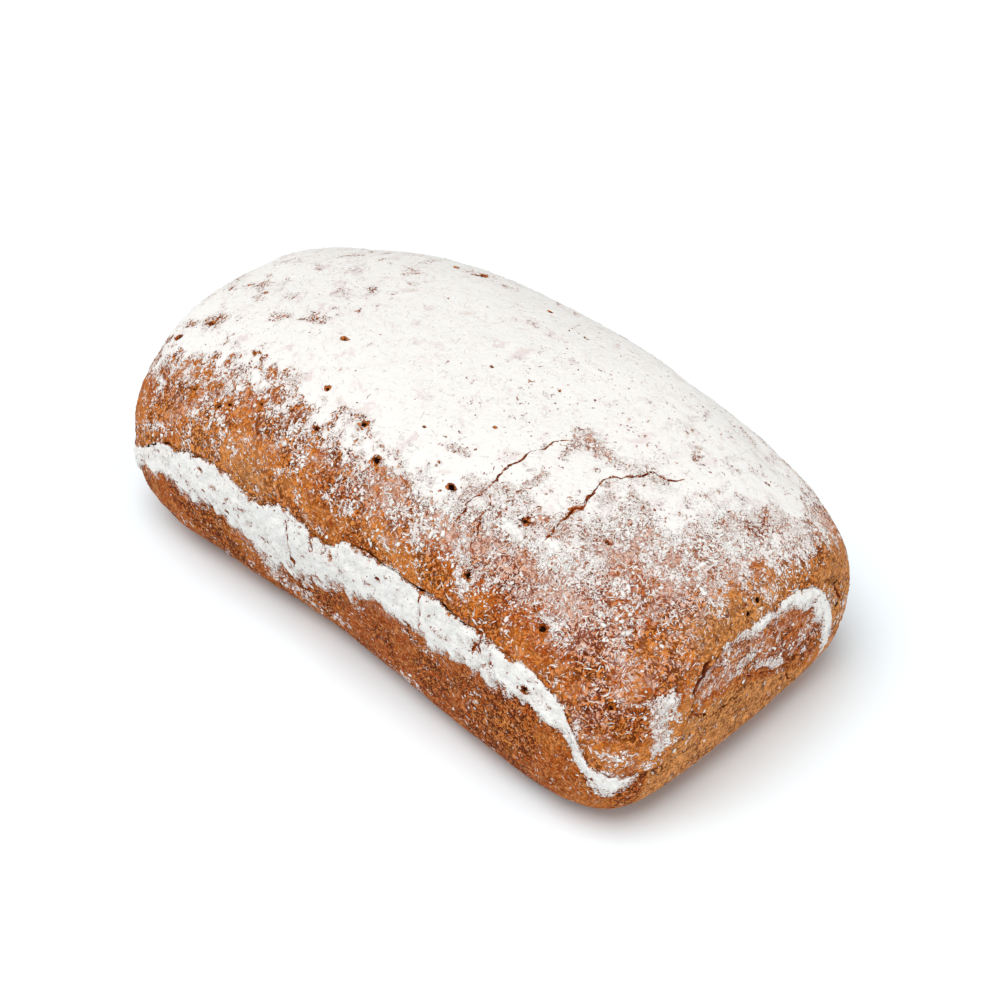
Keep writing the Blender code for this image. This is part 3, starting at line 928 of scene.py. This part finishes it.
# sRGB 0..255 to the linear colour that a shader takes
def paint(red, green, blue):
    c = np.array([red, green, blue]) / 255
    return (*np.where(c < 0.04045, c / 12.92, ((c + 0.055) / 1.055) ** 2.4), 1.0)


# Colours of the crust, of the dust and flour on it, and of the pores' insides, which
# are painted shade; dark is both the crust's darkest brown and the painted shade of
# openings, creases and rims; then roughness, and the bump's strength and depth
crustLook = dict(
    golden=paint(192, 108, 38), brown=paint(162, 73, 20), dark=paint(78, 28, 6), strokes=paint(132, 56, 22),
    bright=paint(216, 150, 94), tan=paint(226, 149, 80),
    flour=paint(233, 231, 227), thinFlour=paint(222, 211, 207),
    film=paint(200, 160, 140), paleFilm=paint(222, 196, 184), inside=paint(34, 12, 4),
    roughness=0.62, flourRoughness=0.92, bump=0.8, bumpDepth=0.7,
)


# What several layers share: the mesh's fields, a pattern of 5 mm clumps and one
# of 2 mm flecks about 0, fine grain, white and bare strokes, ridges, and the
# ledge, splits and pores with ragged edges. "bent" is the place pushed about by
# up to 1.4 mm, so that patterns read there curl
def crustPatterns(n):
    p = SimpleNamespace(coords=n.place())
    for label in ("tone", "flour", "dust", "above", "shade", "split", "pore"):
        setattr(p, label, n.field(label))
    swirl = n.add("TexNoise", {}, {"Vector": p.coords, "Scale": 1000 / 2.6, "Detail": 1.0}).outputs["Color"]
    swirl = n.add("VectorMath", {"operation": "SUBTRACT"}, {0: swirl, 1: (0.5, 0.5, 0.5)}).outputs[0]
    bending = {0: swirl, 1: (2.8 * mm, 2.8 * mm, 2.8 * mm), 2: p.coords}
    p.bent = n.add("VectorMath", {"operation": "MULTIPLY_ADD"}, bending).outputs[0]
    p.clumps = n.calc("SUBTRACT", n.clouds(p.coords, 4.8, 2.0, 0.5, 0.5), 0.5)
    p.flecks = n.calc("SUBTRACT", n.clouds(p.coords, 2.0, 1.0, 0.5, 0.4), 0.5)
    p.fine = n.clouds(p.bent, 2.3, 2.0, 0.55, 0.5)
    p.white = n.strokes(p.bent, 3.2, 0.85, 0.69, 3)
    p.bare = n.strokes(p.bent, 3.2, 0.85, 0.69, 4)
    p.ridges = n.calc("ABSOLUTE", n.calc("SUBTRACT", n.clouds(p.bent, 11, 2.0, 0.5, 0.8), 0.5))
    p.tanned = n.between(p.tone, -0.35, -0.8)
    p.fromLedge = n.scaled(p.clumps, 3.2, n.calc("ABSOLUTE", p.above))
    p.split = n.scaled(p.flecks, 1.8, n.scaled(p.clumps, 2.0, p.split))
    p.pore = n.scaled(p.flecks, 1.4, p.pore)
    p.ledgeWear = n.times(n.between(p.fromLedge, 1.3, 0.4), p.shade)
    p.splitWear = n.between(p.split, 3.0, 1.2)
    return p


# Bare crust: golden and brown patches, tan where the tone is low, bright crumbs
def bareCrust(n, p):
    look = crustLook
    broad = n.scaled(n.clouds(p.coords, 24, 3.0), 0.4)
    patches = n.calc("ADD", broad, n.scaled(n.clouds(p.coords, 4.2, 4.0, 0.6, 0.5), 0.6))
    patches = n.scaled(p.tone, 0.16, patches)
    crust = n.blend(n.between(patches, 0.42, 0.60), look["golden"], look["brown"])
    tan = n.scaled(n.between(p.tone, -0.15, -0.85), n.between(patches, 0.62, 0.42))
    crust = n.blend(tan, crust, look["tan"])
    crumbs = n.most(n.strokes(p.bent, 1.8, 0.9, 0.70, 2), n.between(p.fine, 0.44, 0.32))
    return n.blend(n.scaled(crumbs, 0.55), crust, look["bright"])


# How much flour lies here: its cover moved by clumps, flecks, white strokes and
# bare strokes, worn by veins, specks, the ledge, splits and pores. Where flour
# is thin the strokes and veins count more; where dust lies, flecks count less
def flourAmount(n, p, specky):
    thin = n.between(p.flour, 1.12, 0.75)
    p.soft = n.scaled(n.between(p.dust, 0.25, 0.55), 1.0 - specky)
    amount = n.scaled(p.clumps, 1.9, n.scaled(p.flour, 1.0, -0.02))
    amount = n.calc("ADD", n.times(p.flecks, n.scaled(p.soft, -0.6, 1.2)), amount)
    amount = n.scaled(p.white, 0.26, amount)
    amount = n.scaled(n.times(p.bare, n.scaled(thin, 0.92, 0.08)), -0.50, amount)
    low = 0.54 - 0.06 * specky
    some = n.between(n.clouds(p.coords, 17, 1.0), low, low + 0.08)
    veins = n.times(n.between(p.ridges, 0.010, 0.004), some)
    amount = n.scaled(n.times(veins, n.scaled(thin, 0.5, 0.5)), -0.6, amount)
    amount = n.scaled(specks(n, p, specky), -0.9, amount)
    amount = n.scaled(p.ledgeWear, -0.8, amount)
    amount = n.scaled(p.splitWear, -1.2, amount)
    return n.scaled(n.between(p.pore, 2.2, 1.15), -1.0, amount)


# Fine bare specks in some places: two cloudy patterns, one of 1.3 mm that says
# where a speck is and one of 9 mm that says where there are any
def specks(n, p, specky):
    dusty = n.scaled(n.between(p.dust, 0.62, 0.92), 1.0 - specky)
    fine = (1.3, 0.71 - 0.05 * specky, 0.05, -0.05)
    broad = (9, 0.52 - 0.14 * specky, 0.10, -0.09)
    both = []
    for size, low, width, inDust in (fine, broad):
        stops = [n.scaled(dusty, inDust, level) for level in (low, low + width)]
        both.append(n.between(n.clouds(p.coords, size, 1.0), *stops))
    return n.times(*both)


# Thin dust that veils the crust, and dark wrinkles that break it, weaker where
# the crust is tan; the wrinkles' darkness is partly the crust's own brown and partly painted shade in their
# furrows
def dustedCrust(n, p, crust):
    look = crustLook
    veil = n.scaled(p.clumps, 1.1, n.scaled(p.flecks, 1.1, p.dust))
    veil = n.scaled(p.bare, -0.35, veil)
    wear = n.most(p.ledgeWear, n.most(p.splitWear, n.between(p.pore, 2.4, 1.0)))
    veil = n.scaled(wear, -1.0, veil)
    film = n.scaled(n.between(veil, 0.12, 0.66), 0.86)
    filmColour = n.blend(n.between(p.fine, 0.42, 0.58), look["film"], look["paleFilm"])
    colour = n.blend(film, crust, filmColour)
    wrinkles = n.most(n.strokes(p.bent, 2.8, 0.8, 0.685, 1), n.between(p.fine, 0.60, 0.67))
    gathered = n.scaled(n.between(n.clouds(p.coords, 14, 1.0), 0.40, 0.58), 0.5, 0.5)
    p.wrinkles = n.times(wrinkles, gathered)
    # the furrow colour: the crust's dark brown, partly painted shade in the furrows
    furrow = n.blend(film, look["dark"], look["strokes"])
    deep = n.scaled(n.between(p.tone, -0.2, 0.4), 0.10, 0.85)
    deep = n.scaled(p.tanned, -0.6, deep)
    return n.blend(n.times(p.wrinkles, deep), colour, furrow)


# The skin that was bare against the tin: Voronoi cells, some brighter and some
# browner, bright strokes, and dark edges, creases and pits that are painted shade in its small cracks and
# hollows
def tanSkin(n, p, colour):
    look = crustLook
    inputs = {"Vector": p.bent, "Scale": 1000 / 2.6}
    edges = n.add("TexVoronoi", {"feature": "DISTANCE_TO_EDGE"}, inputs).outputs["Distance"]
    cells = n.add("TexVoronoi", {}, inputs).outputs["Color"]
    edges = n.times(n.between(edges, 0.13, 0.04), n.between(n.clouds(p.coords, 5, 1.0), 0.40, 0.54))
    # painted shade: the cells' edges and the creases are darkened as small cracks in shade
    creases = n.most(n.most(n.scaled(p.bare, 0.75), edges), n.between(p.ridges, 0.014, 0.005))
    marks = [
        (n.between(cells, 0.62, 0.95), 0.6, "bright"), (n.between(cells, 0.30, 0.0), 0.5, "brown"),
        (creases, 0.75, "dark"), (p.white, 0.45, "bright"),
    ]
    for mark, strength, ink in marks:
        colour = n.blend(n.times(mark, n.scaled(p.tanned, strength)), colour, look[ink])
    # painted shade in the pits
    pits = n.times(n.between(n.clouds(p.bent, 2.0, 1.0, 0.5, 0.4), 0.62, 0.67), p.tanned)
    p.furrows = n.most(n.most(pits, p.wrinkles), n.times(edges, p.tanned))
    return n.blend(n.scaled(pits, 0.85), colour, look["dark"])


# Flour over the crust, greyer where it is thin or smudged, and the darker rim of
# crust beside it, which is painted shade under the flour's edge
def flouredCrust(n, p, colour, amount, specky):
    look = crustLook
    p.hidden = n.between(amount, n.scaled(p.soft, -0.07, 0.45), n.scaled(p.soft, 0.10, 0.56))
    # painted shade: the crust just outside the flour's edge is darkened as if the flour layer shaded it
    rim = n.times(n.between(amount, 0.20, 0.42), n.between(p.flour, 0.15, 0.5))
    colour = n.blend(n.scaled(rim, 0.22), colour, look["dark"])
    smudges = n.between(n.clouds(p.coords, 7, 3.0, 0.6, 0.6), 0.55, 0.70)
    depth = n.scaled(smudges, -0.8 * (1 - specky), n.scaled(p.flour, 0.6, amount))
    flour = n.blend(n.between(depth, 0.8, 1.95), look["thinFlour"], look["flour"])
    return n.blend(p.hidden, colour, flour)


# Painted shade in the openings: the ledge's dark line, the splits, dark at the core and paler at their lips,
# and the pores' near-black insides
def openings(n, p, colour):
    look = crustLook
    # painted shadow along the ledge's step and in the fold, as dark as the shade field says
    line = n.scaled(n.times(n.between(p.fromLedge, 0.45, 0.05), p.shade), 0.65)
    # painted shade in the splits: brown towards the lips, dark at the core
    colour = n.blend(n.scaled(n.between(p.split, 1.5, 0.8), 0.95), colour, look["strokes"])
    colour = n.blend(n.scaled(n.most(line, n.between(p.split, 1.0, 0.35)), 0.9), colour, look["dark"])
    # painted shade: the pores' insides near black
    return n.blend(n.between(p.pore, 1.05, 0.7), colour, look["inside"])


# Height for the bump: furrows go down where no flour hides them, flour stands up
def skinHeight(n, p, specky):
    sunk = n.times(n.scaled(p.furrows, -0.6), n.scaled(p.hidden, -0.85, 1.0))
    caked = n.scaled(n.clouds(p.coords, 2.2, 3.0, 0.6, 0.3), 1.2, 0.5)
    raised = n.scaled(n.times(p.hidden, caked), 0.8 + 0.7 * specky, n.scaled(p.flecks, 0.3))
    return n.calc("ADD", sunk, raised)


# Crust, thin dust over it, the skin of the bare zone, flour, then the openings.
# "specky" is 1 on the tin's wall, whose flour is finely specked and never soft
def crustMaterial(name, specky):
    n = Nodes(name)
    p = crustPatterns(n)
    amount = flourAmount(n, p, specky)
    colour = dustedCrust(n, p, bareCrust(n, p))
    colour = flouredCrust(n, p, tanSkin(n, p, colour), amount, specky)
    colour = openings(n, p, colour)
    look = crustLook
    roughness = n.scaled(p.hidden, look["flourRoughness"] - look["roughness"], look["roughness"])
    return n.finish(colour, roughness, skinHeight(n, p, specky), look["bump"], look["bumpDepth"])


# A piece's material, and the body that it rides on
def finishPiece(thing, material):
    thing.data.materials.append(material)
    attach(thing, "root")


for thing, specky in ((crown, 0), (tinWall, 1)):
    finishPiece(thing, crustMaterial(thing.name + " crust", specky))
    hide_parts("loaf")
print("crust and flour are painted")


# Each face of the shells in a row: centre, normal, area, and its first corner's
# cover, dust, height above the ledge, and distances to a pore and a split
def shellFaces():
    rows = []
    for thing in (crown, tinWall):
        mesh = thing.data
        corners = readAll(mesh.loops, "vertex_index", kind=int)
        first = corners[readAll(mesh.polygons, "loop_start", kind=int)]
        labels = ("flour", "dust", "above", "pore", "split")
        fields = [readAll(mesh.attributes[label].data, "value")[first] for label in labels]
        centres, facing = [readAll(mesh.polygons, label, 3) for label in ("center", "normal")]
        areas = readAll(mesh.polygons, "area")
        rows.append(np.c_[centres / mm, facing, areas / mm ** 2, np.stack(fields, -1)])
    return np.vstack(rows)


# How steeply a face may look down, how high above the floor it has to be, and
# how far from pores and splits, for a small piece to lie on it
room = dict(down=-0.35, foot=3, pore=1.3, split=2)


# Places for small pieces, drawn at random by "wanted" from each face's centre,
# cover and dust times its area: points and normals. Faces on the hidden rings,
# whose height above the ledge is 0, take none
def drawPlaces(faces, count, rng, wanted):
    centres, facing, area = faces[:, :3], faces[:, 3:6], faces[:, 6]
    cover, dust, above, pore, split = faces[:, 7:].T
    free = (above != 0) & (facing[:, 2] > room["down"]) & (centres[:, 2] > room["foot"])
    free &= (pore > room["pore"]) & (split > room["split"])
    weight = area * free * np.clip(wanted(centres, cover, dust), 0, None)
    chosen = rng.choice(len(faces), count, p=weight / weight.sum())
    apart = rng.uniform(-0.5, 0.5, (count, 3)) * np.sqrt(area[chosen])[:, None]
    apart -= facing[chosen] * (apart * facing[chosen]).sum(-1, keepdims=True)
    return centres[chosen] + apart, facing[chosen]


# One mesh of many copies of a small closed shape: each is turned at random on
# the skin, sized by "size" (long, wide, high), bent sideways by "bend" times
# (1 - (2 along)^2), roughened by "rough", and sunk by "sink" of its height
def scatterPieces(name, faces, count, seed, shape, where, size, bend=0.0, rough=0.0, sink=0.2):
    rng = np.random.default_rng(seed)
    points, facing = drawPlaces(faces, count, rng, where)
    solid, sides = shape
    number = len(solid)
    ahead = np.cross(facing, rng.normal(size=(count, 3)))
    ahead /= np.linalg.norm(ahead, axis=1, keepdims=True)
    aside = np.cross(facing, ahead)
    local = np.broadcast_to(np.array(solid, float), (count, number, 3))
    local = local * (1 + rough * rng.uniform(-1, 1, (count, number, 1)))
    sizes = np.exp(rng.normal(0, 0.28, (count, 1))) * np.array(size) * rng.uniform(0.8, 1.2, (count, 3))
    curve = bend * rng.normal(size=(count, 1)) * sizes[:, :1] * (1 - (2 * local[:, :, 0]) ** 2)
    local = local * sizes[:, None]
    local[:, :, 1] += curve
    local[:, :, 2] += sizes[:, 2:] * (0.5 - sink)
    world = np.repeat(points[:, None], number, 1)
    for axis, direction in enumerate((ahead, aside, facing)):
        world += local[:, :, axis:axis + 1] * direction[:, None]
    corners = (np.array(sides)[None] + np.arange(count)[:, None, None] * number).ravel()
    mesh = fillMesh(name, world.reshape(-1, 3), corners, np.arange(len(corners) // 3) * 3)
    print(name, count, "pieces", len(corners) // 3, "triangles")
    return addObject(name, mesh)


# A spindle along x with two rings of three points
sliver = (
    [(-0.5, 0, 0), (-0.2, 0.5, -0.3), (-0.2, -0.5, -0.3), (-0.2, 0, 0.5),
     (0.2, 0.5, -0.3), (0.2, -0.5, -0.3), (0.2, 0, 0.5), (0.5, 0, 0)],
    [(0, 1, 2), (0, 3, 1), (0, 2, 3), (1, 4, 5), (1, 5, 2), (1, 3, 6),
     (1, 6, 4), (2, 5, 6), (2, 6, 3), (7, 5, 4), (7, 4, 6), (7, 6, 5)],
)
# An eight sided grain
grain = (
    [(-0.5, 0, 0), (0.5, 0, 0), (0, -0.5, 0), (0, 0.5, 0), (0, 0, -0.5), (0, 0, 0.5)],
    [(0, 2, 5), (2, 1, 5), (1, 3, 5), (3, 0, 5), (2, 0, 4), (1, 2, 4), (3, 1, 4), (0, 3, 4)],
)
# A twenty sided lump, an icosahedron one across
lump = (
    np.array([
        (-1, golden, 0), (1, golden, 0), (-1, -golden, 0), (1, -golden, 0),
        (0, -1, golden), (0, 1, golden), (0, -1, -golden), (0, 1, -golden),
        (golden, 0, -1), (golden, 0, 1), (-golden, 0, -1), (-golden, 0, 1),
    ]) / (2 * (1 + golden ** 2) ** 0.5),
    [(0, 11, 5), (0, 5, 1), (0, 1, 7), (0, 7, 10), (0, 10, 11), (1, 5, 9), (5, 11, 4),
     (11, 10, 2), (10, 7, 6), (7, 1, 8), (3, 9, 4), (3, 4, 2), (3, 2, 6), (3, 6, 8),
     (3, 8, 9), (4, 9, 5), (2, 4, 11), (6, 2, 10), (8, 6, 7), (9, 8, 1)],
)


# Lumps gather where thick flour thins out and on the band's edge
def aroundEdges(centres, cover, dust):
    return rise(cover, 0.15, 0.35) * rise(cover, 1.1, -0.4) * (0.45 + 0.6 * lumps(centres, 7, 71)) + 0.006


# Hairs and grains lie in the dust: more with dust^2 and cover, fewer on the left
# and the lower walls, and very few where the right end is bare
def overDust(centres, cover, dust):
    x, y, z = centres.T
    tan = rise(x, 112, 3) * rise(z, tanTop(y), -4)
    share = 0.55 * dust * dust + 0.5 * smooth((cover - 0.08) * 1.8)
    share = share * mix(0.5, 1, rise(x, -20, 60)) * rise(cover, 1.1, -0.3)
    stray = 0.006 + 0.03 * rise(z, 50, 10)
    return (stray + share * (0.6 + 0.6 * lumps(centres, 5, 72))) * (1 - 0.8 * tan)


# Flakes lie where flour leaves the crust bare, in loose drifts
def mostlyBare(centres, cover, dust):
    return rise(cover, 1.0, -0.5) * (0.5 + 0.6 * lumps(centres, 6, 73)) + 0.004


# Loose bits: two paints clouded together, and a fine grained skin
def bitsMaterial(name, first, second, size):
    n = Nodes(name)
    coords = n.place()
    colour = n.blend(n.between(n.clouds(coords, size), 0.38, 0.62), first, second)
    return n.finish(colour, 0.92, n.clouds(coords, 0.3), 0.5, 0.1)


flourPaint = dict(first=paint(231, 229, 225), second=paint(222, 214, 209), size=9)
branPaint = dict(first=paint(120, 54, 20), second=paint(196, 116, 56), size=1.2)
flourHairs = dict(
    count=13000, seed=5, shape=sliver, where=overDust, size=(1.6, 0.25, 0.14), bend=0.18, sink=0.3)
flourGrains = dict(
    count=11000, seed=6, shape=grain, where=overDust, size=(0.50, 0.42, 0.26), rough=0.25)
flourLumps = dict(
    count=3800, seed=7, shape=lump, where=aroundEdges, size=(1.1, 0.75, 0.32), rough=0.4, sink=0.4)
branFlakes = dict(
    count=5000, seed=8, shape=grain, where=mostlyBare, size=(0.7, 0.42, 0.16), rough=0.3, sink=0.1)

skinFaces = shellFaces()
looseFlour = bitsMaterial("loose flour", **flourPaint)
looseBran = bitsMaterial("loose bran", **branPaint)
for name, bits, material in (
        ("flourHairs", flourHairs, looseFlour), ("flourGrains", flourGrains, looseFlour),
        ("flourLumps", flourLumps, looseFlour), ("branFlakes", branFlakes, looseBran)):
    finishPiece(scatterPieces(name, skinFaces, **bits), material)


view = dict(
    turn=44.19, height=40.04, distance=780.6, target=(0.0, -0.3, 39.0),
    lens=85.0, shiftX=0.0276, shiftY=-0.0123, nearest=10.0,
)

# Each lamp: turn from the front towards the right end, height and spread in
# degrees, strength
studio = dict(
    lamps={"key": (-2, 73, 46, 2.29), "front fill": (-38, 10, 24, 0.54), "low fill": (96, 8, 20, 1.0)},
    sky=(1, 1, 1, 1), skyStrength=0.43,
    floorPaint=(0.885, 0.957, 0.99, 1), floorRoughness=0.9, floorHalf=3000.0,
)


# A camera that looks down at the target from "distance" along the direction
# (sin turn cos height, -cos turn cos height, sin height)
def placeCamera():
    camera = addObject("camera", bpy.data.cameras.new("camera"))
    turn, height = radians(view["turn"]), radians(view["height"])
    back = Vector((sin(turn) * cos(height), -cos(turn) * cos(height), sin(height)))
    camera.location = (Vector(view["target"]) + back * view["distance"]) * mm
    camera.rotation_euler = (pi / 2 - height, 0, turn)
    camera.data.lens = view["lens"]
    camera.data.shift_x = view["shiftX"]
    camera.data.shift_y = view["shiftY"]
    camera.data.clip_start = view["nearest"] * mm
    scene.camera = camera


# A square of pale paper at height 0
def layFloor():
    half = studio["floorHalf"] * mm
    mesh = bpy.data.meshes.new("floor")
    corners = [(-half, -half, 0), (half, -half, 0), (half, half, 0), (-half, half, 0)]
    mesh.from_pydata(corners, [], [(0, 1, 2, 3)])
    n = Nodes("floor paper")
    n.put(n.shader.inputs["Base Color"], studio["floorPaint"])
    n.put(n.shader.inputs["Roughness"], studio["floorRoughness"])
    mesh.materials.append(n.material)
    addObject("floor", mesh)


# Soft lamps far off, and an even white sky
def lightStudio():
    for name, (turn, height, spread, strength) in studio["lamps"].items():
        data = bpy.data.lights.new(name, "SUN")
        data.angle = radians(spread)
        data.energy = strength
        addObject(name, data).rotation_euler = (pi / 2 - radians(height), 0, radians(turn))
    scene.world = bpy.data.worlds.new("studio")
    scene.world.use_nodes = True
    sky = scene.world.node_tree.nodes["Background"].inputs
    sky["Color"].default_value = studio["sky"]
    sky["Strength"].default_value = studio["skyStrength"]
    scene.view_settings.view_transform = "Standard"


placeCamera()
layFloor()
lightStudio()
print("camera, floor and lights are in place")
